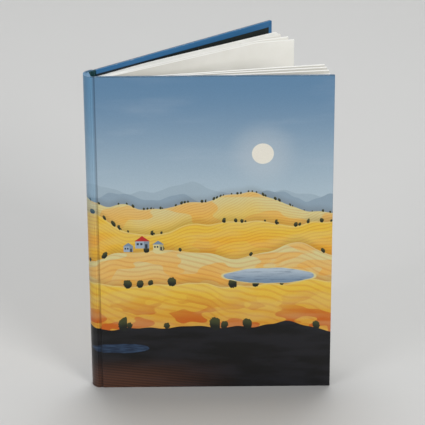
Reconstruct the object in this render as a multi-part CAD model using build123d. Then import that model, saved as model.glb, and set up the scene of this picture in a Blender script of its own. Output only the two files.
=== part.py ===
# Hardcover notebook, standing upright and partly open.
# The case is a printed paper wrap glued round two cover boards and a bowed spine card.
# The front cover lies in a plane parallel to XZ and faces -Y, with its fore-edge towards +X.
# The back cover and the leaves are fanned behind it, turned about +Z.
# The origin is at the foot of the spine, in the middle of its wall. Lengths are in mm.
from build123d import *

import os
from math import sqrt

# Cover boards and their wrap
COVER_H = 218.0
BOARD_LEN = 149.6
BOARD_T = 2.0
WRAP_T = 0.3
TURN_IN = 15.0
MITRE_GAP = 0.15
MITRE_ANGLE = 45.0
EDGE_R = 0.55

# Endpapers glued inside the covers
PASTE_T = 0.15
HEAD_SQUARE = 4.0
FORE_SQUARE = 3.2

# Text block: folded sections between two flyleaves
PAGE_LEN = 148.0
SECTION_T = 1.0
SECTION_GAP = 0.12
FLYLEAF_T = 0.15
BLOCK_GAP = 0.15

# Joints between spine and covers
KNUCKLE_R = 0.35
KNUCKLE_GAP = 0.12
HINGE_DEPTH = 1.3
JOINT_LEN = 0.8
JOINT_T = 0.5
SWING_GAP = 0.15

# Bowed spine with its hollow, and the lining on the folds
CARD_T = 0.8
SPINE_BULGE = 4.9
SHOULDER_DROP = 0.35
SHOULDER_R = 0.3
SPINE_TURN_IN = 12.0
LINING_T = 0.5
LINING_GAP = 0.1
HINGE_INSET = 0.6

OVERRUN = 1.0

# How far each piece is turned open from the closed book, in degrees
BACK_ANGLE = 40.7
SECTION_ANGLES = [4.2, 6.3, 8.3, 9.8, 33.9, 34.8, 35.6, 36.4]

# Sizes that follow from those above, measured first in the closed book's frame
SECTIONS = len(SECTION_ANGLES)
PITCH = SECTION_T + SECTION_GAP
STACK_T = SECTIONS * PITCH - SECTION_GAP
BLOCK_HALF = STACK_T / 2 + FLYLEAF_T
COVER_T = PASTE_T + WRAP_T + BOARD_T + WRAP_T
COVER_IN = BLOCK_HALF + BLOCK_GAP
COVER_OUT = COVER_IN + COVER_T
HINGE_Y = COVER_OUT - HINGE_DEPTH
SWING_R = sqrt(JOINT_LEN ** 2 + HINGE_DEPTH ** 2)
SPINE_WALL = WRAP_T + CARD_T + WRAP_T

# Places along X, from the middle of the spine's wall to the fore-edge
APEX_X = -SPINE_WALL / 2
CREASE_X = APEX_X + SPINE_BULGE
HINGE_X = CREASE_X + SWING_GAP + SWING_R
FOLD_X = HINGE_X - HINGE_INSET


def slab(x0, x1, y0, y1, z0, z1):
    """A box between two corners."""
    return Pos(x0, y0, z0) * Box(x1 - x0, y1 - y0, z1 - z0, align=(Align.MIN, Align.MIN, Align.MIN))


def slab_face(x0, x1, y0, y1):
    """A flat rectangle between two corners."""
    return Pos(x0, y0) * Rectangle(x1 - x0, y1 - y0, align=(Align.MIN, Align.MIN))


def along_z(face, z0, z1):
    """A flat outline raised from z0 to z1."""
    return Pos(0, 0, z0) * extrude(face, z1 - z0)


# Cover, in its own frame: the hinge axis is the Z axis, x runs to the fore-edge, y outwards
INNER_Y = COVER_IN - HINGE_Y
SKIN_Y = INNER_Y + PASTE_T
FORE_X = JOINT_LEN + WRAP_T + BOARD_LEN + WRAP_T


def cover_board():
    """Greyboard, with its arrises eased as pressing leaves them."""
    board = slab(JOINT_LEN + WRAP_T, FORE_X - WRAP_T, SKIN_Y + WRAP_T, HINGE_DEPTH - WRAP_T, WRAP_T, COVER_H - WRAP_T)
    return fillet(board.edges(), EDGE_R - WRAP_T)


def turn_in_window():
    """What the turned-in margins leave bare on the inside of the board."""
    return slab(JOINT_LEN + WRAP_T, FORE_X - TURN_IN, SKIN_Y, SKIN_Y + WRAP_T, TURN_IN, COVER_H - TURN_IN)


def mitre_seam(corner_z, slope):
    """The slit between two turned-in margins, from inside the window out to just short of the board's corner."""
    reach = sqrt(2) * (TURN_IN - 2 * EDGE_R)
    slit = slab(-OVERRUN, reach, SKIN_Y - WRAP_T, SKIN_Y + 2 * WRAP_T, -MITRE_GAP / 2, MITRE_GAP / 2)
    return Pos(FORE_X - TURN_IN, 0, corner_z) * (Rot(0, slope, 0) * slit)


def cover_wrap():
    """Printed paper round the board, with turned-in and mitred margins and the joint's knuckle."""
    skin = slab(JOINT_LEN, FORE_X, SKIN_Y, HINGE_DEPTH, 0, COVER_H)
    skin = fillet(skin.edges(), EDGE_R)
    flange = slab(0, JOINT_LEN + EDGE_R, -JOINT_T / 2, JOINT_T / 2, 0, COVER_H)
    knuckle = Cylinder(KNUCKLE_R, COVER_H, align=(Align.CENTER, Align.CENTER, Align.MIN))
    seams = mitre_seam(COVER_H - TURN_IN, -MITRE_ANGLE) + mitre_seam(TURN_IN, MITRE_ANGLE)
    return skin + flange + knuckle - cover_board() - turn_in_window() - seams


def pastedown():
    """Endpaper over the turned-in margins, with the infill that levels the board between them."""
    hinge_x = JOINT_LEN + EDGE_R
    sheet = slab(hinge_x, FORE_X - FORE_SQUARE, INNER_Y, SKIN_Y, HEAD_SQUARE, COVER_H - HEAD_SQUARE)
    infill = slab(hinge_x, FORE_X - TURN_IN, SKIN_Y, SKIN_Y + WRAP_T, TURN_IN, COVER_H - TURN_IN)
    return sheet + infill


def place_front(piece):
    """Mirror a cover piece to the front, where it lies in its closed place."""
    return Pos(HINGE_X, -HINGE_Y) * mirror(piece, about=Plane.XZ)


def place_back(piece, turn):
    """Turn a piece about the back hinge, on which the back cover and all leaves swing."""
    return Pos(HINGE_X, HINGE_Y) * (Rot(0, 0, turn) * piece)


def bow(inset, end_x):
    """The D outline of the bowed spine, drawn in by an inset from its outer face and cut at end_x."""
    half = COVER_OUT - SHOULDER_DROP
    radius = (half ** 2 + SPINE_BULGE ** 2) / (2 * SPINE_BULGE)
    disc = Pos(APEX_X + radius) * Circle(radius - inset)
    return disc & slab_face(APEX_X, end_x, -COVER_OUT, COVER_OUT)


def bow_layer(outer, inner):
    """One layer of the spine's wall between two insets."""
    end_x = CREASE_X - WRAP_T
    return bow(outer, end_x) - bow(inner, end_x)


def spine_card():
    """Bowed card that stiffens the spine."""
    return along_z(bow_layer(WRAP_T, WRAP_T + CARD_T), WRAP_T, COVER_H - WRAP_T)


def joint_strip(side):
    """Floor of one groove, from the spine's shoulder to the seat of the cover's knuckle."""
    y = side * HINGE_Y
    strip = slab_face(CREASE_X - WRAP_T, HINGE_X, y - JOINT_T / 2, y + JOINT_T / 2)
    seat = Pos(HINGE_X, y) * Circle(KNUCKLE_R + KNUCKLE_GAP)
    return strip - seat


def spine_wrap():
    """Printed paper over the bowed card, turned in at head and tail, with both joint strips."""
    outer = fillet(bow(0, CREASE_X).vertices(), SHOULDER_R)
    open_back = slab_face(CREASE_X - WRAP_T, CREASE_X, JOINT_T / 2 - HINGE_Y, HINGE_Y - JOINT_T / 2)
    ring = outer - bow(WRAP_T, CREASE_X - WRAP_T) - open_back + joint_strip(-1) + joint_strip(1)
    rim = bow_layer(WRAP_T, SPINE_WALL)
    lip = bow_layer(WRAP_T + CARD_T, SPINE_WALL)
    whole = along_z(ring, 0, COVER_H)
    whole += along_z(rim, 0, WRAP_T) + along_z(rim, COVER_H - WRAP_T, COVER_H)
    whole += along_z(lip, 0, SPINE_TURN_IN) + along_z(lip, COVER_H - SPINE_TURN_IN, COVER_H)
    return whole


def section_y(index):
    """Middle of one section across the closed block."""
    return -STACK_T / 2 + SECTION_T / 2 + index * PITCH


def spine_lining():
    """Cloth and glue down the folds, from joint to joint, scalloped where each fold seats."""
    half = HINGE_Y - JOINT_T / 2
    face = slab_face(FOLD_X - LINING_GAP - LINING_T, FOLD_X + LINING_GAP, -half, half)
    for index in range(SECTIONS):
        face -= Pos(FOLD_X + SECTION_T / 2, section_y(index)) * Circle(SECTION_T / 2 + LINING_GAP)
    for side in (-1, 1):
        face -= slab_face(FOLD_X - LINING_GAP, FOLD_X + OVERRUN, min(side * STACK_T / 2, side * half),
                          max(side * STACK_T / 2, side * half))
    return along_z(face, HEAD_SQUARE, COVER_H - HEAD_SQUARE)


def section(index):
    """Folded sheets with a rounded fold, in the frame of the back hinge."""
    fold_x = FOLD_X - HINGE_X + SECTION_T / 2
    y = section_y(index) - HINGE_Y
    leaves = slab_face(fold_x, FOLD_X - HINGE_X + PAGE_LEN, y - SECTION_T / 2, y + SECTION_T / 2)
    leaves += Pos(fold_x, y) * Circle(SECTION_T / 2)
    return along_z(leaves, HEAD_SQUARE, COVER_H - HEAD_SQUARE)


def flyleaf(side):
    """Single leaf tipped on to the first or last section, in the frame of the back hinge."""
    near = side * STACK_T / 2 - HINGE_Y
    far = side * BLOCK_HALF - HINGE_Y
    x0 = FOLD_X - HINGE_X + SECTION_T / 2
    return slab(x0, FOLD_X - HINGE_X + PAGE_LEN, min(near, far), max(near, far), HEAD_SQUARE, COVER_H - HEAD_SQUARE)


def build_nodes():
    """Every piece at rest, by name."""
    nodes = {
        "front_board": place_front(cover_board()),
        "front_wrap": place_front(cover_wrap()),
        "front_pastedown": place_front(pastedown()),
        "back_board": place_back(cover_board(), BACK_ANGLE),
        "back_wrap": place_back(cover_wrap(), BACK_ANGLE),
        "back_pastedown": place_back(pastedown(), BACK_ANGLE),
        "spine_card": spine_card(),
        "spine_wrap": spine_wrap(),
        "spine_lining": spine_lining(),
        "front_flyleaf": place_back(flyleaf(-1), SECTION_ANGLES[0]),
        "back_flyleaf": place_back(flyleaf(1), SECTION_ANGLES[-1]),
    }
    for index, turn in enumerate(SECTION_ANGLES):
        nodes[f"section_{index + 1}"] = place_back(section(index), turn)
    return nodes


os.makedirs("parts", exist_ok=True)
for name, shape in build_nodes().items():
    export_step(shape, f"parts/{name}.step")
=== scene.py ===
# Hardcover notebook standing upright, dressed for rendering. Metres, in the model's own frame.
import math

import bmesh
import bpy
from mathutils import Matrix, Vector


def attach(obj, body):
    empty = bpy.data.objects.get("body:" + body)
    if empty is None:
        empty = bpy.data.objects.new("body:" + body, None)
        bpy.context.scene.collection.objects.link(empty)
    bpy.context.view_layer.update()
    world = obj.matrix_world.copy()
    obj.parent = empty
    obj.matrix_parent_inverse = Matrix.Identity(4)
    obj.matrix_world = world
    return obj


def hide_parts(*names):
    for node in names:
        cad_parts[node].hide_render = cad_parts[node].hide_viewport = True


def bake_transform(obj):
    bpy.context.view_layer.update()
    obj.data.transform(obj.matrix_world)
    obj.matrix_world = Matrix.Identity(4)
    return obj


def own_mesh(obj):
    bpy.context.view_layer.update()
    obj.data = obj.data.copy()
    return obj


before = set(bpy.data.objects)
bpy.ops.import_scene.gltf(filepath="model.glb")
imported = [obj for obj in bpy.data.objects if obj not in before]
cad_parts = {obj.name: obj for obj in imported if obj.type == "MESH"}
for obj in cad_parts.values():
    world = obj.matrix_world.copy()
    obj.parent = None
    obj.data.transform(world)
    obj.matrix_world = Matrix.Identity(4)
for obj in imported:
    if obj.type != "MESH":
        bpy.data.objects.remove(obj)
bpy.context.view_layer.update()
print("frame loaded")

mm = 0.001

# Where the covers and leaves hang, as the model has them
book = {
    "hingeX": 5.876 * mm,
    "hingeY": 6.17 * mm,
    "coverHeight": 218.0 * mm,
    "coverReach": 151.0 * mm,   # from the hinge line to the fore-edge
    "foreSquare": 3.2 * mm,
    "backTurn": 40.7,           # degrees
    "leafTurns": [4.2, 6.3, 8.3, 9.8, 33.9, 34.8, 35.6, 36.4],
    "stack": 8.84 * mm,
    "pitch": 1.12 * mm,
    "section": 1.0 * mm,
    "fold": -0.6 * mm,          # folds, along X from the hinge line
    "headSquare": 4.0 * mm,
    "pageLength": 148.0 * mm,
    "bowCentre": 6.92 * mm,     # the spine's bow, along X
    "bowRadius": 7.62 * mm,
    "spineWall": 1.4 * mm,
}
hingeSpot = Vector((book["hingeX"], book["hingeY"], 0))


# Helpers for modelling by hand

def clearSelection():
    bpy.ops.object.select_all(action="DESELECT")


def pickOnly(thing):
    clearSelection()
    thing.select_set(True)
    bpy.context.view_layer.objects.active = thing


def editMesh(thing):
    pickOnly(thing)
    bpy.ops.object.mode_set(mode="EDIT")
    bpy.ops.mesh.select_mode(type="VERT")
    return bmesh.from_edit_mesh(thing.data)


def leaveMesh():
    bpy.ops.object.mode_set(mode="OBJECT")


# Selects in edit mode the points that a test picks
def selectWhere(mesh, wanted):
    bpy.ops.mesh.select_all(action="DESELECT")
    for point in mesh.verts:
        if wanted(point.co):
            point.select = True
    mesh.select_flush(True)


def cutAcross(places, normal):
    for place in places:
        bpy.ops.mesh.select_all(action="SELECT")
        bpy.ops.mesh.bisect(plane_co=[place * part for part in normal], plane_no=normal)


# Cuts away what lies past a plane and closes the wound
def trimPast(place, normal):
    bpy.ops.mesh.select_all(action="SELECT")
    bpy.ops.mesh.bisect(plane_co=place, plane_no=normal, use_fill=True, clear_outer=True)


def turnOutward():
    bpy.ops.mesh.select_all(action="SELECT")
    bpy.ops.mesh.normals_make_consistent(inside=False)


def extrudeBy(way):
    bpy.ops.mesh.extrude_region_move(TRANSFORM_OT_translate={"value": way})


def applyAll(thing):
    pickOnly(thing)
    bpy.ops.object.transform_apply(location=True, rotation=True, scale=True)


def applyModifier(thing, kind, **settings):
    pickOnly(thing)
    added = thing.modifiers.new(kind.title(), kind)
    for key, value in settings.items():
        setattr(added, key, value)
    bpy.ops.object.modifier_apply(modifier=added.name)


def roundEdges(thing, width, segments, degrees):
    applyModifier(thing, "BEVEL", width=width, segments=segments, limit_method="ANGLE",
                  angle_limit=math.radians(degrees))


def smoothBelow(degrees):
    bpy.ops.object.shade_smooth_by_angle(angle=math.radians(degrees))


# Upright rectangle facing -Y, at one depth, between two places along X and two heights
def uprightPlane(name, left, right, y, low, high):
    clearSelection()
    bpy.ops.mesh.primitive_plane_add(size=1, location=((left + right) / 2, y, (low + high) / 2),
                                     rotation=(math.pi / 2, 0, 0))
    sheet = bpy.context.object
    sheet.name = name
    sheet.scale = (right - left, high - low, 1)
    applyAll(sheet)
    return sheet


def copyOf(thing, name):
    twin = thing.copy()
    twin.data = thing.data.copy()
    twin.name = name
    bpy.context.collection.objects.link(twin)
    return twin


# Helpers for materials

def newMaterial(name):
    material = bpy.data.materials.new(name)
    material.use_nodes = True
    tree = material.node_tree
    return material, tree, tree.nodes["Principled BSDF"]


def plug(tree, target, value):
    if isinstance(value, bpy.types.NodeSocket):
        tree.links.new(value, target)
    else:
        target.default_value = value


def calc(tree, operation, first, second=0.0, third=0.0):
    node = tree.nodes.new("ShaderNodeMath")
    node.operation = operation
    for target, value in zip(node.inputs, (first, second, third)):
        plug(tree, target, value)
    return node.outputs[0]


def plus(tree, first, second):
    return calc(tree, "ADD", first, second)


def minus(tree, first, second):
    return calc(tree, "SUBTRACT", first, second)


def times(tree, first, second):
    return calc(tree, "MULTIPLY", first, second)


def squared(tree, value):
    return calc(tree, "POWER", value, 2.0)


def distance(tree, first, second):
    return calc(tree, "SQRT", plus(tree, squared(tree, first), squared(tree, second)))


# Smooth step from start at low to end at high
def remap(tree, value, low, high, start=0.0, end=1.0):
    node = tree.nodes.new("ShaderNodeMapRange")
    node.interpolation_type = "SMOOTHSTEP"
    plug(tree, node.inputs["Value"], value)
    plug(tree, node.inputs["From Min"], low)
    plug(tree, node.inputs["From Max"], high)
    plug(tree, node.inputs["To Min"], start)
    plug(tree, node.inputs["To Max"], end)
    return node.outputs[0]


def blendColour(tree, share, under, over):
    node = tree.nodes.new("ShaderNodeMix")
    node.data_type = "RGBA"
    plug(tree, node.inputs[0], share)
    plug(tree, node.inputs[6], under)
    plug(tree, node.inputs[7], over)
    return node.outputs[2]


def noise(tree, place, scale, detail=3.0, rough=0.5):
    node = tree.nodes.new("ShaderNodeTexNoise")
    plug(tree, node.inputs["Vector"], place)
    plug(tree, node.inputs["Scale"], scale)
    plug(tree, node.inputs["Detail"], detail)
    plug(tree, node.inputs["Roughness"], rough)
    return node.outputs["Fac"]


# Noise along one length, between 0 and 1
def noiseLine(tree, along, scale, seed, detail=2.0):
    node = tree.nodes.new("ShaderNodeTexNoise")
    node.noise_dimensions = "1D"
    plug(tree, node.inputs["W"], plus(tree, along, seed))
    plug(tree, node.inputs["Scale"], scale)
    plug(tree, node.inputs["Detail"], detail)
    return node.outputs["Fac"]


def joinPlace(tree, x, y, z=0.0):
    node = tree.nodes.new("ShaderNodeCombineXYZ")
    for target, value in zip(node.inputs, (x, y, z)):
        plug(tree, target, value)
    return node.outputs[0]


# Gives a shader its colour and roughness, and from a look its gloss and how deep a height embosses it
def finishLook(tree, shader, look, colour, rough, height):
    tree.links.new(colour, shader.inputs["Base Color"])
    plug(tree, shader.inputs["Roughness"], rough)
    shader.inputs["Specular IOR Level"].default_value = look["gloss"]
    bump = tree.nodes.new("ShaderNodeBump")
    bump.inputs["Strength"].default_value = look["bump"]
    bump.inputs["Distance"].default_value = look["bumpDepth"]
    plug(tree, bump.inputs["Height"], height)
    tree.links.new(bump.outputs["Normal"], shader.inputs["Normal"])


# A colour as a picture shows it, 0 to 255, for a shader
def tone(red, green, blue):
    def linear(value):
        value = value / 255
        return value / 12.92 if value < 0.04045 else ((value + 0.055) / 1.055) ** 2.4
    return (linear(red), linear(green), linear(blue), 1.0)


def objectPlace(tree):
    return tree.nodes.new("ShaderNodeTexCoord").outputs["Object"]


# A place's parts along X, Y and Z
def partsOf(tree, place):
    split = tree.nodes.new("ShaderNodeSeparateXYZ")
    tree.links.new(place, split.inputs[0])
    return split.outputs


# Camera, floor and light

camera = {
    "place": (0.07405, -1.24596, 0.65691),
    "pitch": 23.211,            # degrees down
    "yaw": 0.27,                # degrees towards +X
    "roll": -0.355,
    "lens": 178.4,
    "sensor": 36,
    "clip": (0.01, 20),
}


def addCamera():
    aim = Matrix.Rotation(math.radians(-camera["yaw"]), 3, "Z")
    aim = aim @ Matrix.Rotation(math.radians(90 - camera["pitch"]), 3, "X")
    aim = aim @ Matrix.Rotation(math.radians(camera["roll"]), 3, "Z")
    bpy.ops.object.camera_add(location=camera["place"], rotation=aim.to_euler())
    viewCamera = bpy.context.object
    viewCamera.name = "viewCamera"
    viewCamera.data.sensor_width = camera["sensor"]
    viewCamera.data.lens = camera["lens"]
    viewCamera.data.clip_start, viewCamera.data.clip_end = camera["clip"]
    bpy.context.scene.camera = viewCamera


backdrop = {
    "half": 3.0,
    "wallAt": 1.6,
    "wallHigh": 2.6,
    "sweep": 0.35,
    "sweepSteps": 16,
    "near": 0.01,               # how near an edge its points are picked
}
floorLook = {
    "plain": tone(198, 198, 197),
    "cloud": tone(184, 184, 185),
    "cloudNoise": (3.0, 2.0),
    "cloudSpan": (0.3, 0.7, 0.0, 0.05),
    "grainNoise": (900.0, 2.0),
    "rough": 0.75,
    "gloss": 0.5,
    "bump": 0.1,
    "bumpDepth": 0.2 * mm,
}


def sweepPaper():
    material, tree, shader = newMaterial("palePaperSweep")
    place = objectPlace(tree)
    cloud = remap(tree, noise(tree, place, *floorLook["cloudNoise"]), *floorLook["cloudSpan"])
    grain = noise(tree, place, *floorLook["grainNoise"])
    colour = blendColour(tree, cloud, floorLook["plain"], floorLook["cloud"])
    finishLook(tree, shader, floorLook, colour, floorLook["rough"], grain)
    return material


# Floor that sweeps up into a wall
def makeBackdrop():
    clearSelection()
    middle = backdrop["wallAt"] - backdrop["half"]
    bpy.ops.mesh.primitive_plane_add(size=2 * backdrop["half"], location=(0, middle, 0))
    sweep = bpy.context.object
    sweep.name = "backdrop"
    applyAll(sweep)
    edge = backdrop["wallAt"] - backdrop["near"]
    mesh = editMesh(sweep)
    selectWhere(mesh, lambda co: co.y > edge)
    extrudeBy((0, 0, backdrop["wallHigh"]))
    mesh = bmesh.from_edit_mesh(sweep.data)
    selectWhere(mesh, lambda co: co.y > edge and co.z < backdrop["near"])
    bpy.ops.mesh.bevel(offset=backdrop["sweep"], segments=backdrop["sweepSteps"], affect="EDGES")
    leaveMesh()
    bpy.ops.object.shade_smooth()
    sweep.data.materials.append(sweepPaper())


lamps = [
    # name, place, what it is aimed at, side, watts, colour
    ("keySoftbox", (1.25, -1.6, 0.95), (0.07, 0.03, 0.1), 0.8, 24, (1.0, 0.985, 0.96)),
    ("fillSoftbox", (-1.5, -1.5, 0.72), (0.07, 0.03, 0.1), 1.0, 17, (0.99, 0.995, 1.0)),
    ("topSoftbox", (0.1, 0.7, 1.8), (0.07, 0.05, 0.1), 1.2, 25, (1.0, 1.0, 1.0)),
]
studio = {
    "colour": (0.86, 0.88, 0.9, 1),
    "strength": 0.22,
}


def addLamp(name, place, target, side, watts, colour):
    bpy.ops.object.light_add(type="AREA", location=place)
    lamp = bpy.context.object
    lamp.name = name
    lamp.data.shape = "RECTANGLE"
    lamp.data.size = side
    lamp.data.size_y = side
    lamp.data.energy = watts
    lamp.data.color = colour
    way = Vector(target) - Vector(place)
    lamp.rotation_euler = way.to_track_quat("-Z", "Y").to_euler()


def addWorld():
    world = bpy.data.worlds.new("studio")
    bpy.context.scene.world = world
    world.use_nodes = True
    background = world.node_tree.nodes["Background"]
    background.inputs["Color"].default_value = studio["colour"]
    background.inputs["Strength"].default_value = studio["strength"]


addCamera()
makeBackdrop()
for lampPlan in lamps:
    addLamp(*lampPlan)
addWorld()
bpy.context.scene.view_settings.view_transform = "Standard"
print("camera, floor and light set")


# Printed wrap

landscape = {
    "skyTop": tone(93, 130, 163),
    "skyLow": tone(172, 190, 201),
    "cloud": tone(206, 212, 220),
    "glow": tone(206, 210, 212),
    "bleedBlue": tone(30, 103, 156),
    # painted shade on the head edges
    "headShadeBlue": tone(44, 84, 110),
    # painted light on the upper spine
    "spineLightBlue": tone(97, 162, 203),
    # painted shade in the hollow, beside the back endpaper and on the lining's head
    "hollowDark": tone(14, 30, 42),
    "hollowTeal": tone(42, 80, 84),
    "haze": tone(126, 147, 164),
    "straw": tone(208, 197, 140),
    "gold": tone(222, 184, 62),
    "amber": tone(226, 158, 36),
    "rust": tone(188, 92, 18),
    "hedge": tone(70, 54, 28),
    "treeDark": tone(24, 28, 20),
    "treeLit": tone(62, 66, 36),
    "wall": tone(150, 166, 182),
    "glass": tone(40, 50, 62),
    # black of the printed soil and the drawn houses' shaded sides, and painted shade in the joint's fold
    "soilAndShadeBlack": tone(9, 9, 11),
    "soilBlue": tone(24, 24, 29),
    "soilBrown": tone(86, 53, 37),
    "water": tone(46, 66, 92),
    "waterFar": tone(172, 186, 198),
    "waterDark": tone(24, 40, 62),
    "slate": tone(112, 134, 156),
    "sun": tone(226, 222, 210),
    "roofRed": tone(176, 40, 34),
    "paperCore": tone(232, 230, 222),
    "grain": (0.02, 0.02, 0.02, 1),
}

# The picture's motifs on the unrolled cover: u from the spine to the fore-edge, v up from the foot.
# A noise has scale, detail and roughness. A span says where an effect starts and ends, then its two shares
softEdge = 0.1 * mm
sky = {
    "fade": (218 * mm, 118 * mm),
    "stretch": 5.0,
    "cloudNoise": (14.0, 4.0),
    "cloudSpan": (0.5, 0.82, 0.0, 0.14),
}
sun = {
    "u": 112 * mm,
    "v": 166 * mm,
    "glow": (26 * mm, 7 * mm, 0.0, 0.26),
    "rim": (7.1 * mm, 6.8 * mm),
}
farHills = [
    # level and swell in mm, scale, seed, share of haze
    (141, 24, 22.0, 3.1, 0.45),
    (136, 20, 30.0, 7.7, 0.8),
]
farEdge = (0.0, 0.3 * mm)
ridges = [
    # level and swell in mm, scale, seed, top colour, low colour, fall in mm, furrows per metre,
    # then its trees' spacing and size in mm, and how many are thinned out
    (133, 30, 17.0, 9.7, "straw", "gold", 20, 560.0, 2.6, 0.9, 0.45),
    (119, 36, 14.0, 5.2, "gold", "amber", 26, 420.0, 4.2, 1.4, 0.5),
    (98, 40, 12.0, 14.6, "straw", "amber", 34, 300.0, 6.5, 2.1, 0.55),
    (74, 32, 15.0, 21.3, "gold", "rust", 30, 210.0, 9.5, 3.1, 0.5),
]
field = {
    "plotStretch": 2.2,
    "plotScale": 30.0,
    "plotScaleStep": 6,         # from one hill to the next
    "plotDetail": 1.0,
    "plotSpan": (0.49, 0.51, 0.0, 0.55),
    "lean": 0.34,
    "leanStep": -0.22,
    "warpNoise": (30.0, 1.0),
    "warp": 8 * mm,
    "furrowSpan": (0.0, 1.0, 0.0, 0.26),
    "lightStretch": 5.0,
    "lightNoise": (24.0, 2.0),
    "lightSpan": (0.4, 0.65, 0.0, 0.2),
    "crest": (1.6 * mm, 0.2 * mm, 0.0, 0.45),
    "behind": (-6 * mm, 0.0, 0.0, 0.25),
    "edge": (0.0, 0.14 * mm),
}
# Shares of a tree's size or radius, apart from the noise and the thinning's softness
treePlan = {
    "least": 0.5,
    "chance": 0.6,
    "lift": 0.7,
    "squash": 0.75,
    "leafNoise": (900.0, 2.0),
    "leafDeep": 0.5,
    "crown": 1.25,
    "thinSoft": 0.02,
    "lit": 0.6,
}
hamlet = [
    # left, foot, width and height of the wall in mm, roof, wall
    (30.0, 101.0, 9.0, 5.0, "roofRed", "wall"),
    (41.5, 99.5, 6.5, 4.2, "slate", "straw"),
    (22.5, 98.5, 6.0, 4.0, "slate", "wall"),
]
# Shares of a house's width and height, how dark its shaded side is, and its eaves in mm
housePlan = {
    "shadeFrom": 0.62,
    "shadeShare": 0.35,
    "gable": 0.42,
    "eaves": 0.5,
    "panes": [(0.1, 0.26, 0.45, 0.75), (0.36, 0.52, 0.45, 0.75), (0.7, 0.88, 0.0, 0.6)],
}
lake = {
    "u": 116 * mm,
    "v": 81 * mm,
    "long": 30 * mm,
    "high": 5.6 * mm,
    "wobbleNoise": (60.0, 2.0),
    "wobble": 0.7,
    "depth": (76 * mm, 86 * mm),
    "rippleStretch": 14.0,
    "rippleNoise": (90.0, 3.0),
    "rippleSpan": (0.52, 0.66, 0.0, 0.4),
    "sand": (1.42, 1.34),
    "edge": (1.3, 1.26),
}
pond = {
    "u": 19 * mm,
    "v": 29 * mm,
    "long": 21 * mm,
    "high": 3.6 * mm,
    "wobbleNoise": (90.0, 3.0),
    "wobble": 0.8,
    "rippleStretch": 12.0,
    "rippleNoise": (110.0, 2.0),
    "rippleSpan": (0.45, 0.6),
    "edge": (1.3, 1.22),
}
ground = {
    "ridge": (44, 20, 18.0, 31.8),      # level and swell in mm, scale, seed
    "stretch": 5.0,
    "soilNoise": (26.0, 4.0),
    "soilSpan": (0.4, 0.62),
    "earthHigh": (24 * mm, 6 * mm),
    "earthAlong": (104 * mm, 14 * mm, 0.0, 0.9),
    "drillLean": 0.12,
    "drills": 520,                      # per metre
    "drillSpan": (-0.6, 0.8, 0.55, 1.0),
    "edge": (0.0, 0.3 * mm),
    "trees": (12.0, 4.2, 31.8, 0.45),   # spacing and size in mm, seed, thinning
}


# Height of one ridge line along the unrolled cover
def ridgeHeight(tree, u, level, swell, scale, seed):
    wave = noiseLine(tree, u, scale, seed)
    return calc(tree, "MULTIPLY_ADD", minus(tree, wave, 0.5), swell * mm, level * mm)


# 1 between two places in mm, and 0 outside them
def bandShare(tree, value, low, high):
    return times(tree, remap(tree, value, low * mm - softEdge, low * mm + softEdge),
                 remap(tree, value, high * mm + softEdge, high * mm - softEdge))


# 1 inside a box on the cover
def boxShare(tree, u, v, left, right, low, high):
    return times(tree, bandShare(tree, u, left, right), bandShare(tree, v, low, high))


# 1 inside a gable on the cover
def gableShare(tree, u, v, left, right, low, rise):
    middle = (left + right) / 2 * mm
    half = (right - left) / 2 * mm
    off = calc(tree, "DIVIDE", calc(tree, "ABSOLUTE", minus(tree, u, middle)), half)
    top = calc(tree, "MULTIPLY_ADD", off, -rise * mm, (low + rise) * mm)
    return times(tree, remap(tree, minus(tree, top, v), -softEdge, softEdge),
                 remap(tree, v, low * mm - softEdge, low * mm + softEdge))


# Noise whose shapes are drawn out along u
def longNoise(tree, u, v, stretch, scale, detail):
    return noise(tree, joinPlace(tree, u, times(tree, v, stretch)), scale, detail)


# Grows from the middle of an oval past 1 at its wavy shore
def shoreReach(tree, u, v, oval):
    along = calc(tree, "DIVIDE", minus(tree, u, oval["u"]), oval["long"])
    up = calc(tree, "DIVIDE", minus(tree, v, oval["v"]), oval["high"])
    wobble = times(tree, noise(tree, joinPlace(tree, u, v), *oval["wobbleNoise"]), oval["wobble"])
    return plus(tree, plus(tree, squared(tree, along), squared(tree, up)), wobble)


def rippleShare(tree, u, v, oval):
    ripple = longNoise(tree, u, v, oval["rippleStretch"], *oval["rippleNoise"])
    return remap(tree, ripple, *oval["rippleSpan"])


# Row of rounded trees standing on a ridge, larger and smaller by turns
def treeRow(tree, colour, u, under, spacing, size, seed, thin):
    size = size * mm
    row = tree.nodes.new("ShaderNodeTexVoronoi")
    row.voronoi_dimensions = "1D"
    plug(tree, row.inputs["W"], plus(tree, u, seed))
    plug(tree, row.inputs["Scale"], 1 / (spacing * mm))
    split = tree.nodes.new("ShaderNodeSeparateColor")
    tree.links.new(row.outputs["Color"], split.inputs[0])
    side = times(tree, row.outputs["Distance"], spacing * mm)
    radius = calc(tree, "MULTIPLY_ADD", split.outputs[0], treePlan["chance"] * size, treePlan["least"] * size)
    rise = calc(tree, "MULTIPLY_ADD", radius, treePlan["lift"], under)
    squashed = times(tree, squared(tree, calc(tree, "ABSOLUTE", rise)), treePlan["squash"])
    reach = calc(tree, "SQRT", plus(tree, squared(tree, side), squashed))
    leaves = noise(tree, joinPlace(tree, u, under), *treePlan["leafNoise"])
    leafy = calc(tree, "MULTIPLY_ADD", leaves, treePlan["leafDeep"] * size, reach)
    inCrown = minus(tree, times(tree, radius, treePlan["crown"]), leafy)
    crown = remap(tree, inCrown, -softEdge, softEdge)
    chosen = remap(tree, split.outputs[1], thin, thin + treePlan["thinSoft"])
    lit = remap(tree, rise, treePlan["lit"] * size, -treePlan["lit"] * size)
    green = blendColour(tree, lit, landscape["treeDark"], landscape["treeLit"])
    return blendColour(tree, times(tree, crown, chosen), colour, green)


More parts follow.
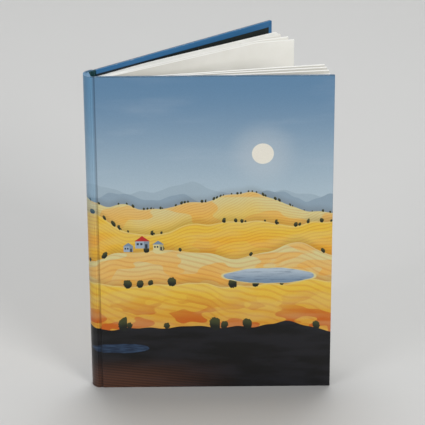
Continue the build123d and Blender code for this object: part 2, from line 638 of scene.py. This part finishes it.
# House with a gable roof, a door and two windows
def house(tree, colour, u, v, left, low, wide, high, roof, wall):
    right = left + wide
    top = low + high
    eaves = housePlan["eaves"]
    colour = blendColour(tree, boxShare(tree, u, v, left, right, low, top), colour, landscape[wall])
    shade = boxShare(tree, u, v, left + housePlan["shadeFrom"] * wide, right, low, top)
    colour = blendColour(tree, times(tree, shade, housePlan["shadeShare"]), colour, landscape["soilAndShadeBlack"])
    gable = gableShare(tree, u, v, left - eaves, right + eaves, top, housePlan["gable"] * wide)
    colour = blendColour(tree, gable, colour, landscape[roof])
    for start, end, sill, lintel in housePlan["panes"]:
        pane = boxShare(tree, u, v, left + start * wide, left + end * wide,
                        low + sill * high, low + lintel * high)
        colour = blendColour(tree, pane, colour, landscape["glass"])
    return colour


# Sky with thin cloud, a pale sun with a soft rim, and far hills in haze
def drawSky(tree, u, v):
    colour = blendColour(tree, remap(tree, v, *sky["fade"]), landscape["skyTop"], landscape["skyLow"])
    cloud = remap(tree, longNoise(tree, u, v, sky["stretch"], *sky["cloudNoise"]), *sky["cloudSpan"])
    colour = blendColour(tree, cloud, colour, landscape["cloud"])
    away = distance(tree, minus(tree, u, sun["u"]), minus(tree, v, sun["v"]))
    colour = blendColour(tree, remap(tree, away, *sun["glow"]), colour, landscape["glow"])
    colour = blendColour(tree, remap(tree, away, *sun["rim"]), colour, landscape["sun"])
    for *ridge, share in farHills:
        under = minus(tree, ridgeHeight(tree, u, *ridge), v)
        hill = blendColour(tree, share, landscape["skyLow"], landscape["haze"])
        colour = blendColour(tree, remap(tree, under, *farEdge), colour, hill)
    return colour


# One golden hill with plots, furrows and a row of trees on its crest
def drawHill(tree, colour, u, v, index, plan):
    level, swell, scale, seed, top, low, fall, rows, spacing, size, thin = plan
    under = minus(tree, ridgeHeight(tree, u, level, swell, scale, seed), v)
    soil = blendColour(tree, remap(tree, under, 0.0, fall * mm), landscape[top], landscape[low])
    # plots of different crops, then furrows that lean with the hill
    plotScale = field["plotScale"] + field["plotScaleStep"] * index
    plot = longNoise(tree, u, v, field["plotStretch"], plotScale, field["plotDetail"])
    crop = landscape["gold"] if index % 2 else landscape["amber"]
    soil = blendColour(tree, remap(tree, plot, *field["plotSpan"]), soil, crop)
    lean = calc(tree, "MULTIPLY_ADD", u, field["lean"] + field["leanStep"] * index, under)
    wave = noise(tree, joinPlace(tree, u, v), *field["warpNoise"])
    warp = calc(tree, "MULTIPLY_ADD", wave, field["warp"], lean)
    furrow = calc(tree, "SINE", times(tree, warp, rows * 2 * math.pi))
    soil = blendColour(tree, remap(tree, furrow, *field["furrowSpan"]), soil, landscape["rust"])
    light = longNoise(tree, u, v, field["lightStretch"], *field["lightNoise"])
    soil = blendColour(tree, remap(tree, light, *field["lightSpan"]), soil, landscape["straw"])
    # the crest catches light, and the ground darkens behind it
    soil = blendColour(tree, remap(tree, under, *field["crest"]), soil, landscape["straw"])
    colour = blendColour(tree, remap(tree, under, *field["behind"]), colour, landscape["hedge"])
    colour = blendColour(tree, remap(tree, under, *field["edge"]), colour, soil)
    return treeRow(tree, colour, u, under, spacing, size, seed, thin)


# Lake with a pale far shore
def drawLake(tree, colour, u, v):
    reach = shoreReach(tree, u, v, lake)
    water = blendColour(tree, remap(tree, v, *lake["depth"]), landscape["slate"], landscape["waterFar"])
    water = blendColour(tree, rippleShare(tree, u, v, lake), water, landscape["water"])
    colour = blendColour(tree, remap(tree, reach, *lake["sand"]), colour, landscape["straw"])
    return blendColour(tree, remap(tree, reach, *lake["edge"]), colour, water)


# Dark ground in front, with drilled earth and a pond that still holds the sky
def drawGround(tree, colour, u, v):
    under = minus(tree, ridgeHeight(tree, u, *ground["ridge"]), v)
    cloudy = remap(tree, longNoise(tree, u, v, ground["stretch"], *ground["soilNoise"]), *ground["soilSpan"])
    soil = blendColour(tree, cloudy, landscape["soilAndShadeBlack"], landscape["soilBlue"])
    earth = times(tree, remap(tree, v, *ground["earthHigh"]), remap(tree, u, *ground["earthAlong"]))
    lean = calc(tree, "MULTIPLY_ADD", u, ground["drillLean"], v)
    drill = calc(tree, "SINE", times(tree, lean, ground["drills"] * 2 * math.pi))
    earth = times(tree, earth, remap(tree, drill, *ground["drillSpan"]))
    soil = blendColour(tree, earth, soil, landscape["soilBrown"])
    shore = shoreReach(tree, u, v, pond)
    water = blendColour(tree, rippleShare(tree, u, v, pond), landscape["waterDark"], landscape["water"])
    soil = blendColour(tree, remap(tree, shore, *pond["edge"]), soil, water)
    colour = blendColour(tree, remap(tree, under, *ground["edge"]), colour, soil)
    return treeRow(tree, colour, u, under, *ground["trees"])


# Golden hills under a blue sky, drawn on the unrolled cover
def landscapePrint(tree, u, v):
    colour = drawSky(tree, u, v)
    for index, plan in enumerate(ridges):
        colour = drawHill(tree, colour, u, v, index, plan)
    for plan in hamlet:
        colour = house(tree, colour, u, v, *plan)
    colour = drawLake(tree, colour, u, v)
    return drawGround(tree, colour, u, v)


wrapLook = {
    # how the spine and the back are unrolled beside the front cover
    "spineStretch": -1.3,
    "spineShift": -5.06 * mm,
    "spineReach": 60 * mm,
    "backShift": -15.5 * mm,
    # below the head
    # painted light on the upper spine
    "spineLightSpan": (118 * mm, 78 * mm, 0.0, 0.25),
    # painted shade on the head edges
    "headShade": (0.55 * mm, 0.1 * mm, 0.0, 0.85),
    "hollowLift": (12 * mm, 2 * mm),
    "hollowRim": (0.4 * mm, 0.7 * mm),
    "bleed": (98 * mm, 68 * mm, 0.0, 0.85),
    "besideDeep": (18 * mm, 10 * mm),
    "besideStart": 2.5 * mm,
    "besideSlope": 0.0105,
    "besideEdge": (0.15 * mm, -0.25 * mm),
    # along a cover from its hinge
    "spineLightEnd": (1.0 * mm, -0.8 * mm),
    "rootEnd": (1.3 * mm, 0.7 * mm),
    "besideEnd": (0.1 * mm, -0.3 * mm),     # past the endpaper's fore-edge
    # across the wall
    "headShadeSide": (1.0 * mm, 3.5 * mm, 0.2, 1.0),
    "hollowWall": (0.6 * mm, 1.0 * mm),     # in from the spine's outer face
    "inside": (-0.2 * mm, -0.9 * mm),
    "rootSide": (0.1 * mm, -0.1 * mm),
    # round the joint's fold
    "creaseShift": 0.25 * mm,
    "crease": (1.7 * mm, 0.6 * mm, 0.0, 0.3),
    # grain, wear and film
    "grainNoise": (2600.0, 2.0),
    "grainSpan": (0.35, 0.65, 0.0, 0.06),
    "worn": (0.4 * mm, 0.1 * mm, 0.0, 0.14),
    "rubNoise": (420.0, 4.0, 0.7),
    "rubSpan": (0.5, 0.68),
    "smearNoise": (30.0, 3.0),
    "smearSpan": (0.3, 0.75, 0.3, 0.4),
    "coarseNoise": (140.0, 3.0),
    "coarseShare": 0.6,
    "fineNoise": (1500.0, 2.0),
    "fineShare": 0.4,
    "gloss": 0.3,
    "coat": 0.08,
    "coatRough": 0.25,
    "bump": 0.12,
    "bumpDepth": 0.12 * mm,
}


# Where a place lies along the unrolled cover, how far out of the hinge's plane, and how far from the hinge
def unrolled(tree, side, x, y):
    if side == "front":
        return x, minus(tree, -book["hingeY"], y), minus(tree, x, book["hingeX"])
    if side == "spine":
        u = calc(tree, "MULTIPLY_ADD", y, wrapLook["spineStretch"], wrapLook["spineShift"])
        return u, 0.0, wrapLook["spineReach"]
    turn = math.radians(book["backTurn"])
    dx = minus(tree, x, book["hingeX"])
    dy = minus(tree, y, book["hingeY"])
    reach = plus(tree, times(tree, dx, math.cos(turn)), times(tree, dy, math.sin(turn)))
    out = minus(tree, times(tree, dy, math.cos(turn)), times(tree, dx, math.sin(turn)))
    return minus(tree, wrapLook["backShift"], reach), out, reach


# Painted shade inside the spine's hollow
def shadeHollow(tree, colour, shade, x, y, below):
    radius = distance(tree, minus(tree, x, book["bowCentre"]), y)
    hollow = remap(tree, minus(tree, book["bowRadius"], radius), *wrapLook["hollowWall"])
    hollow = times(tree, hollow, remap(tree, below, *wrapLook["hollowRim"]))
    return blendColour(tree, hollow, colour, shade)


# Folded margins carry the print's bleed. Painted shade gathers beside the back endpaper and at the joint
def shadeInside(tree, colour, shade, side, out, reach, below):
    inside = remap(tree, out, *wrapLook["inside"])
    bleed = times(tree, inside, remap(tree, below, *wrapLook["bleed"]))
    colour = blendColour(tree, bleed, colour, landscape["bleedBlue"])
    if side == "back":
        start = calc(tree, "MULTIPLY_ADD", reach, wrapLook["besideSlope"], wrapLook["besideStart"])
        beside = remap(tree, minus(tree, start, below), *wrapLook["besideEdge"])
        beside = times(tree, beside, remap(tree, below, *wrapLook["besideDeep"]))
        past = minus(tree, reach, book["coverReach"] - book["foreSquare"])
        beside = times(tree, beside, remap(tree, past, *wrapLook["besideEnd"]))
        colour = blendColour(tree, times(tree, inside, beside), colour, landscape["hollowDark"])
    root = times(tree, remap(tree, out, *wrapLook["rootSide"]), remap(tree, reach, *wrapLook["rootEnd"]))
    return blendColour(tree, root, colour, shade)


# Painted shade in the joint's fold
def shadeCrease(tree, colour, side, x, y):
    foldX = book["hingeX"] + wrapLook["creaseShift"]
    foldY = -book["hingeY"] if side == "front" else book["hingeY"]
    away = distance(tree, minus(tree, x, foldX), minus(tree, y, foldY))
    return blendColour(tree, remap(tree, away, *wrapLook["crease"]), colour, landscape["soilAndShadeBlack"])


# Fine print grain, and the film's faint wear towards the edges
def wearPrint(tree, colour, place, z, below, reach):
    grain = remap(tree, noise(tree, place, *wrapLook["grainNoise"]), *wrapLook["grainSpan"])
    colour = blendColour(tree, grain, colour, landscape["grain"])
    edge = calc(tree, "MINIMUM", z, below)
    edge = calc(tree, "MINIMUM", edge, minus(tree, book["coverReach"], reach))
    rub = remap(tree, noise(tree, place, *wrapLook["rubNoise"]), *wrapLook["rubSpan"])
    worn = times(tree, remap(tree, edge, *wrapLook["worn"]), rub)
    return blendColour(tree, worn, colour, landscape["paperCore"])


# Printed paper under a smooth film. side is front, spine or back
def printedWrap(name, side, crease=False):
    material, tree, shader = newMaterial(name)
    place = objectPlace(tree)
    x, y, z = partsOf(tree, place)
    u, out, reach = unrolled(tree, side, x, y)
    below = minus(tree, book["coverHeight"], z)
    colour = landscapePrint(tree, u, z)
    # painted light, a lighter blue over the upper spine and along the hinge, and painted shade, a deeper blue
    # over the head edges
    spineLight = remap(tree, below, *wrapLook["spineLightSpan"])
    headShade = remap(tree, below, *wrapLook["headShade"])
    if side == "spine":
        # painted shade, deepest at the spine's back rim
        headShade = times(tree, headShade, remap(tree, y, *wrapLook["headShadeSide"]))
    else:
        spineLight = times(tree, spineLight, remap(tree, reach, *wrapLook["spineLightEnd"]))
    colour = blendColour(tree, spineLight, colour, landscape["spineLightBlue"])
    colour = blendColour(tree, headShade, colour, landscape["headShadeBlue"])
    # painted shade for the hollow and the joint's root, near-black and turning teal towards the head
    lift = remap(tree, below, *wrapLook["hollowLift"])
    shade = blendColour(tree, lift, landscape["hollowDark"], landscape["hollowTeal"])
    if side == "spine":
        colour = shadeHollow(tree, colour, shade, x, y, below)
    else:
        colour = shadeInside(tree, colour, shade, side, out, reach, below)
    if crease:
        colour = shadeCrease(tree, colour, side, x, y)
    colour = wearPrint(tree, colour, place, z, below, reach)
    smear = remap(tree, noise(tree, place, *wrapLook["smearNoise"]), *wrapLook["smearSpan"])
    shader.inputs["Coat Weight"].default_value = wrapLook["coat"]
    shader.inputs["Coat Roughness"].default_value = wrapLook["coatRough"]
    coarse = times(tree, noise(tree, place, *wrapLook["coarseNoise"]), wrapLook["coarseShare"])
    fine = times(tree, noise(tree, place, *wrapLook["fineNoise"]), wrapLook["fineShare"])
    finishLook(tree, shader, wrapLook, colour, smear, plus(tree, coarse, fine))
    return material


# Plain boards, cloth and papers

endLook = {
    "dark": tone(20, 27, 26),
    "fibre": tone(34, 42, 39),
    "cloud": tone(40, 46, 44),
    "fibreNoise": (900.0, 5.0, 0.65),
    "fibreSpan": (0.35, 0.7),
    "cloudNoise": (40.0, 3.0),
    "cloudSpan": (0.4, 0.7, 0.0, 0.25),
    "rough": 0.8,
    "gloss": 0.3,
    "bump": 0.3,
    "bumpDepth": 0.1 * mm,
}


def endpaper():
    material, tree, shader = newMaterial("darkEndpaper")
    place = objectPlace(tree)
    fibres = noise(tree, place, *endLook["fibreNoise"])
    cloud = noise(tree, place, *endLook["cloudNoise"])
    colour = blendColour(tree, remap(tree, fibres, *endLook["fibreSpan"]), endLook["dark"], endLook["fibre"])
    colour = blendColour(tree, remap(tree, cloud, *endLook["cloudSpan"]), colour, endLook["cloud"])
    finishLook(tree, shader, endLook, colour, endLook["rough"], fibres)
    return material


boardLook = {
    "dark": tone(128, 122, 110),
    "pale": tone(168, 160, 146),
    "fleck": tone(80, 76, 70),
    "fibreNoise": (1300.0, 6.0, 0.7),
    "fleckNoise": (420.0, 2.0),
    "fleckSpan": (0.66, 0.72, 0.0, 0.6),
    "rough": 0.9,
    "gloss": 0.5,
    "bump": 0.4,
    "bumpDepth": 0.15 * mm,
}


def greyboard():
    material, tree, shader = newMaterial("greyboard")
    place = objectPlace(tree)
    fibres = noise(tree, place, *boardLook["fibreNoise"])
    flecks = noise(tree, place, *boardLook["fleckNoise"])
    colour = blendColour(tree, fibres, boardLook["dark"], boardLook["pale"])
    colour = blendColour(tree, remap(tree, flecks, *boardLook["fleckSpan"]), colour, boardLook["fleck"])
    finishLook(tree, shader, boardLook, colour, boardLook["rough"], fibres)
    return material


clothLook = {
    "dark": tone(176, 166, 140),
    "pale": tone(224, 218, 200),
    "glue": tone(198, 184, 146),
    "thread": 0.8 * mm,
    "weaveSpan": (0.0, 0.9),
    "glueNoise": (160.0, 3.0),
    "glueSpan": (0.45, 0.7, 0.0, 0.5),
    "shade": (204 * mm, 213 * mm, 0.0, 0.85),
    "rough": 0.75,
    "gloss": 0.5,
    "bump": 0.5,
    "bumpDepth": 0.2 * mm,
}


# Open weave set in glue, down the folds, with its head in the shade of the hollow
def liningCloth():
    material, tree, shader = newMaterial("liningCloth")
    place = objectPlace(tree)
    parts = partsOf(tree, place)
    turns = 2 * math.pi / clothLook["thread"]
    across, along = [calc(tree, "SINE", times(tree, parts[axis], turns)) for axis in "YZ"]
    weave = calc(tree, "MAXIMUM", across, along)
    raised = remap(tree, weave, *clothLook["weaveSpan"])
    colour = blendColour(tree, raised, clothLook["dark"], clothLook["pale"])
    glue = remap(tree, noise(tree, place, *clothLook["glueNoise"]), *clothLook["glueSpan"])
    colour = blendColour(tree, glue, colour, clothLook["glue"])
    colour = blendColour(tree, remap(tree, parts["Z"], *clothLook["shade"]), colour, landscape["hollowDark"])
    finishLook(tree, shader, clothLook, colour, clothLook["rough"], weave)
    return material


pageLook = {
    "plain": tone(236, 235, 229),
    "pale": tone(241, 240, 235),
    "fibre": tone(218, 216, 207),
    "fold": tone(210, 208, 200),
    "coverShade": tone(190, 188, 180),
    "fibreNoise": (1100.0, 5.0, 0.6),
    "fibreSpan": (0.55, 0.75, 0.0, 0.2),
    "mottleNoise": (60.0, 3.0),
    "mottleSpan": (0.3, 0.7),
    # painted shade towards the folds
    "foldSpan": (95 * mm, 25 * mm, 0.0, 0.5),       # along X
    "headHighlightSpan": (0.15 * mm, 0.05 * mm, 0.0, 0.9),    # below the leaves' heads
    "rough": 0.85,
    "gloss": 0.25,
    "bump": 0.2,
    "bumpDepth": 0.06 * mm,
}
pageKinds = {
    # name, tone of its head with painted highlight, share of the tone with painted shade
    "inner": ("innerLeaf", tone(244, 244, 240), 0.0),
    "outer": ("outerLeaf", tone(254, 254, 252), 0.0),
    "coverShadeInner": ("coverShadeInnerLeaf", tone(253, 253, 250), 0.55),
    "coverShadeOuter": ("coverShadeOuterLeaf", tone(255, 255, 253), 0.55),
}


# Uncoated off-white paper with a little mottle and fibre
def pagePaper(name, cut, coverShade):
    material, tree, shader = newMaterial(name)
    place = objectPlace(tree)
    parts = partsOf(tree, place)
    fibres = noise(tree, place, *pageLook["fibreNoise"])
    mottle = remap(tree, noise(tree, place, *pageLook["mottleNoise"]), *pageLook["mottleSpan"])
    colour = blendColour(tree, mottle, pageLook["plain"], pageLook["pale"])
    colour = blendColour(tree, remap(tree, fibres, *pageLook["fibreSpan"]), colour, pageLook["fibre"])
    # painted shade, a little darker towards the folds
    colour = blendColour(tree, remap(tree, parts["X"], *pageLook["foldSpan"]), colour, pageLook["fold"])
    # painted shade on the leaves behind the front cover
    colour = blendColour(tree, coverShade, colour, pageLook["coverShade"])
    # painted highlight at the leaves' heads
    below = minus(tree, book["coverHeight"] - book["headSquare"], parts["Z"])
    colour = blendColour(tree, remap(tree, below, *pageLook["headHighlightSpan"]), colour, cut)
    finishLook(tree, shader, pageLook, colour, pageLook["rough"], fibres)
    return material


def dress(node, material):
    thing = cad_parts[node]
    thing.data.materials.clear()
    thing.data.materials.append(material)
    for face in thing.data.polygons:
        face.material_index = 0


wraps = {side: printedWrap(side + "Print", side) for side in ("front", "spine", "back")}
for side, wrap in wraps.items():
    dress(side + "_wrap", wrap)
boardMaterial = greyboard()
endMaterial = endpaper()
papers = {kind: pagePaper(*plan) for kind, plan in pageKinds.items()}
for node in ("front_board", "back_board", "spine_card"):
    dress(node, boardMaterial)
dress("spine_lining", liningCloth())
for node in ("front_pastedown", "back_pastedown"):
    dress(node, endMaterial)
print("covers and spine dressed")


# Joint papers: the wrap's skin where it dips into each groove

joint = {
    "thick": 0.06 * mm,
    "round": 0.12 * mm,
    "roundSteps": 2,
    "roundOver": 12,            # degrees
    "smoothBelow": 50,
    # paths in mm, the first one from the shoulder and the last one in the back cover's own frame
    "spineSide": [(4.12, 7.05), (4.35, 6.93), (4.8, 6.88), (5.4, 6.76)],
    "frontSide": [(5.9, 6.6), (6.35, 6.6), (6.6, 6.82), (6.72, 7.2)],
    "backSide": [(0.1, 0.45), (0.5, 0.42), (0.68, 0.5), (0.76, 0.78), (0.84, 1.02)],
}


# Upright sheet drawn out edge by edge along a path of (x, y), from low to high
def foldedSheet(name, path, low, high):
    (x, y), (nextX, nextY) = path[:2]
    sheet = uprightPlane(name, x, nextX, y, low, high)
    mesh = editMesh(sheet)
    selectWhere(mesh, lambda co: co.x > (x + nextX) / 2)
    bpy.ops.transform.translate(value=(0, nextY - y, 0))
    for (x, y), (nextX, nextY) in zip(path[1:], path[2:]):
        extrudeBy((nextX - x, nextY - y, 0))
    leaveMesh()
    return sheet


def jointPaper(side):
    if side == "front":
        path = [Vector((x, -y)) * mm for x, y in joint["spineSide"] + joint["frontSide"]]
    else:
        turn = Matrix.Rotation(math.radians(book["backTurn"]), 2)
        path = [Vector(spot) * mm for spot in joint["spineSide"]]
        path += [hingeSpot.xy + turn @ Vector(spot) * mm for spot in joint["backSide"]]
    paper = foldedSheet(side + "JointPaper", path, 0, book["coverHeight"])
    applyModifier(paper, "SOLIDIFY", thickness=joint["thick"], offset=0.0)
    roundEdges(paper, joint["round"], joint["roundSteps"], joint["roundOver"])
    editMesh(paper)
    turnOutward()
    leaveMesh()
    smoothBelow(joint["smoothBelow"])
    paper.data.materials.append(printedWrap(side + "JointPrint", side, crease=True))
    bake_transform(paper)


for side in ("front", "back"):
    jointPaper(side)


# Head and tail folds: the wrap gathered inside the spine's two ends

headFold = {
    "deep": 3.6 * mm,
    "inset": 0.3 * mm,          # below the spine's own end
    "play": 0.02 * mm,          # to the wall round it
    "facets": 96,
    "face": (3.7 * mm, -0.75 * mm, 0),   # a place on its inner face
    "lean": 12.8,               # degrees that its inner face turns from the leaves' backs
    "frontEnd": -5.6 * mm,
    "round": 0.3 * mm,
    "roundSteps": 4,
    "roundOver": 40,
    "smoothBelow": 40,
}


def makeHeadFold(name, low, high):
    clearSelection()
    radius = book["bowRadius"] - book["spineWall"] - headFold["play"]
    bpy.ops.mesh.primitive_cylinder_add(vertices=headFold["facets"], radius=radius, depth=high - low,
                                        location=(book["bowCentre"], 0, (low + high) / 2))
    fold = bpy.context.object
    fold.name = name
    applyAll(fold)
    lean = math.radians(headFold["lean"])
    editMesh(fold)
    trimPast(headFold["face"], (math.cos(lean), math.sin(lean), 0))
    trimPast((0, headFold["frontEnd"], 0), (0, -1, 0))
    turnOutward()
    leaveMesh()
    roundEdges(fold, headFold["round"], headFold["roundSteps"], headFold["roundOver"])
    smoothBelow(headFold["smoothBelow"])
    fold.data.materials.append(wraps["spine"])
    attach(fold, "spine")


makeHeadFold("headFold", book["coverHeight"] - headFold["deep"], book["coverHeight"] - headFold["inset"])
makeHeadFold("tailFold", headFold["inset"], headFold["deep"])
print("joints and spine ends papered")


# Leaves

leafPlan = {
    "paper": 0.1 * mm,
    "perSection": 8,
    "rows": 7,                  # cuts along the height
    "cuts": [10 * step for step in range(1, 12)] + [115 + 2.5 * step for step in range(12)],
    "wave": 0.35 * mm,
    "waveLength": 0.09,
    "pick": 0.2 * mm,           # how near an edge or a cut its points are picked
    "smoothBelow": 30,
    # turn of each section's first and last leaf at the fold, in degrees
    "fans": [(3.7, 4.3), (6.1, 6.4), (8.4, 8.7), (9.3, 9.6), (33.2, 33.4), (34.75, 34.95), (35.1, 37.5),
             (37.8, 40.2)],
    # bends: from, to, and degrees forward for the first and for the last leaf, or back if below 0
    "bends": [[(60, 110, 0.6, 0.5)], [(40, 110, -0.4, -0.4)], [(40, 110, 0.5, 0.5)],
              [(20, 60, -0.8, -0.8), (110, 130, 1.5, 1.5)],
              [(30, 90, -1.4, -1.2), (117.5, 127.5, 23.0, 22.0)],
              [(10, 90, 0.3, 0.4), (122.5, 132.5, 15.5, 15.0)],
              [(30, 50, 0.0, 2.4)], [(30, 50, 2.6, 5.0)]],
    # where the first and last leaf end: the open block leans, and its fore-edge with it
    "ends": [(148.4, 148.4), (148.4, 148.4), (147.8, 147.8), (147.2, 147.2), (146.8, 147.4), (146.0, 146.6),
             (144.7, 144.7), (144.7, 144.9)],
    # how far the first and last leaf move along the block's thickness as the book closes, so that curls clear
    "press": [(0.21, 0.0), (0.0, 0.0), (0.0, -0.19), (-0.15, -0.863), (0.862, 0.142), (0.15, 0.0),
              (0.0, -0.05), (0.05, -0.18)],
    "keep": 0.01,
    "closeShare": 40.7 / 49.3,  # of the back cover's longer travel, from here to closed
    # sections, counted from 0, whose last or first leaf ends a group, and the first one without painted shade
    "lastEnds": (1, 2, 7),
    "firstEnds": (4, 5, 6),
    "unshadedFrom": 4,
}
foldPlan = {
    "tail": 1.2 * mm,           # straight length on each side of a fold
    "thin": 0.9,                # of a leaf's thickness
    "steps": 8,
    "merge": 0.001 * mm,
}
flyleaves = [
    # node, piece, section, side of the block, place in the fan, degrees more, press, paper
    ("front_flyleaf", "frontFlyleaf", 0, -1, 0.0, -0.3, 0.31, "coverShadeInner"),
    ("back_flyleaf", "backFlyleaf", 7, 1, 1.0, 0.12, -0.28, "outer"),
]
flyleafGap = 0.07 * mm          # from the stack to the middle of the leaf


def sectionMiddle(index):
    return -book["stack"] / 2 + book["section"] / 2 + index * book["pitch"] - book["hingeY"]


# One leaf lying in the plane of the hinge, cut where it may bend
def makeFlatLeaf():
    start = book["fold"] + book["section"] / 2
    end = book["fold"] + book["pageLength"]
    low = book["headSquare"]
    high = book["coverHeight"] - book["headSquare"]
    leaf = uprightPlane("flatLeaf", start, end, 0, low, high)
    rows = leafPlan["rows"]
    editMesh(leaf)
    cutAcross([place * mm for place in leafPlan["cuts"]], (1, 0, 0))
    cutAcross([low + (high - low) * (row + 1) / (rows + 1) for row in range(rows)], (0, 0, 1))
    leaveMesh()
    ripple = bpy.data.textures.new("leafRipple", "CLOUDS")
    ripple.noise_scale = leafPlan["waveLength"]
    applyModifier(leaf, "DISPLACE", texture=ripple, strength=leafPlan["wave"], direction="Y",
                  texture_coords="LOCAL", mid_level=0.5)
    applyModifier(leaf, "SOLIDIFY", thickness=leafPlan["paper"], offset=0.0)
    return leaf


# Between a section's first leaf and its last
def between(pair, share):
    return pair[0] + (pair[1] - pair[0]) * share


# Trims a leaf at its end, then turns what lies past each cut a little further, as paper curls
def bendLeaf(leaf, section, share):
    mesh = editMesh(leaf)
    end = book["fold"] + book["pageLength"]
    selectWhere(mesh, lambda co: co.x > end - leafPlan["pick"])
    bpy.ops.transform.translate(value=(between(leafPlan["ends"][section], share) * mm - end, 0, 0))
    spot = Vector((0, 0, 0))
    last = 0.0
    turned = 0.0
    for start, stop, first, final in leafPlan["bends"][section]:
        cuts = [place * mm for place in leafPlan["cuts"] if start <= place <= stop]
        part = math.radians(between((first, final), share) / len(cuts))
        for cut in cuts:
            spot = spot + Vector((math.cos(turned), -math.sin(turned), 0)) * (cut - last)
            last = cut
            selectWhere(mesh, lambda co: co.x > spot.x + leafPlan["pick"])
            bpy.ops.transform.rotate(value=part, orient_axis="Z", center_override=spot)
            turned += part
    leaveMesh()


# Sets a piece at its place in the closed block, then turns it open about the hinge
def turnOpen(thing, degrees, along, depth):
    turn = Matrix.Rotation(math.radians(degrees), 4, "Z")
    thing.matrix_world = Matrix.Translation(hingeSpot) @ turn @ Matrix.Translation((along, depth, 0))
    applyAll(thing)


def belongTo(thing, section, node):
    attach(thing, "leaves_%d" % (section + 1))
    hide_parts(node)


# Gives a leaf its own copy of its mesh
def letFlatten(leaf):
    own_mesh(leaf)


# Painted highlight: the leaves that end a group are whiter at the head. Painted shade: those behind the front
# cover are greyer
def leafPaper(section, number):
    last = leafPlan["perSection"] - 1
    ends = number == last and section in leafPlan["lastEnds"]
    ends = ends or (number == 0 and section in leafPlan["firstEnds"])
    if section < leafPlan["unshadedFrom"]:
        return "coverShadeOuter" if ends else "coverShadeInner"
    return "outer" if ends else "inner"


def addLeaf(name, node, section, share, depth, degrees, paper):
    leaf = copyOf(flatLeaf, name)
    bendLeaf(leaf, section, share)
    turnOpen(leaf, degrees, 0, depth)
    smoothBelow(leafPlan["smoothBelow"])
    leaf.data.materials.append(papers[paper])
    belongTo(leaf, section, node)
    letFlatten(leaf)


# One sheet of a fold: a strip that goes half round it, then straight again, drawn up to the leaves' height
def foldSheet(radius):
    clearSelection()
    low = book["headSquare"]
    tail = foldPlan["tail"]
    bpy.ops.mesh.primitive_plane_add(size=1, location=(tail / 2, radius, low))
    strip = bpy.context.object
    strip.scale = (tail, leafPlan["paper"] * foldPlan["thin"], 1)
    applyAll(strip)
    mesh = editMesh(strip)
    selectWhere(mesh, lambda co: co.x < tail / 2)
    bpy.ops.mesh.spin(steps=foldPlan["steps"], angle=math.pi, center=(0, 0, low), axis=(0, 0, 1))
    extrudeBy((tail, 0, 0))
    bpy.ops.mesh.select_all(action="SELECT")
    bpy.ops.mesh.remove_doubles(threshold=foldPlan["merge"])
    extrudeBy((0, 0, book["coverHeight"] - 2 * low))
    turnOutward()
    leaveMesh()
    return strip


# Nested folds of one section's sheets, where the thread would run
def makeFold():
    step = book["section"] / leafPlan["perSection"]
    count = leafPlan["perSection"] // 2
    sheets = [foldSheet(book["section"] / 2 - step * (sheet + 0.5)) for sheet in range(count)]
    clearSelection()
    for sheet in sheets:
        sheet.select_set(True)
    bpy.context.view_layer.objects.active = sheets[0]
    bpy.ops.object.join()
    fold = bpy.context.object
    fold.name = "sheetFold"
    return fold


def makeSection(section):
    node = "section_%d" % (section + 1)
    fold = copyOf(sheetFold, "fold%d" % (section + 1))
    middle = sectionMiddle(section)
    turnOpen(fold, book["leafTurns"][section], book["fold"] + book["section"] / 2, middle)
    fold.data.materials.append(papers["inner"])
    belongTo(fold, section, node)
    last = leafPlan["perSection"] - 1
    for number in range(leafPlan["perSection"]):
        share = number / last
        depth = middle + (number - last / 2) * book["section"] / leafPlan["perSection"]
        addLeaf("leaf%d.%d" % (section + 1, number + 1), node, section, share, depth,
                between(leafPlan["fans"][section], share), leafPaper(section, number))


flatLeaf = makeFlatLeaf()
sheetFold = makeFold()
for section in range(len(book["leafTurns"])):
    makeSection(section)
for node, name, section, side, share, more, press, paper in flyleaves:
    depth = side * (book["stack"] / 2 + flyleafGap) - book["hingeY"]
    addLeaf(name, node, section, share, depth, between(leafPlan["fans"][section], share) + more, paper)
for spare in (flatLeaf, sheetFold):
    bpy.data.objects.remove(spare, do_unlink=True)
print("leaves fanned")
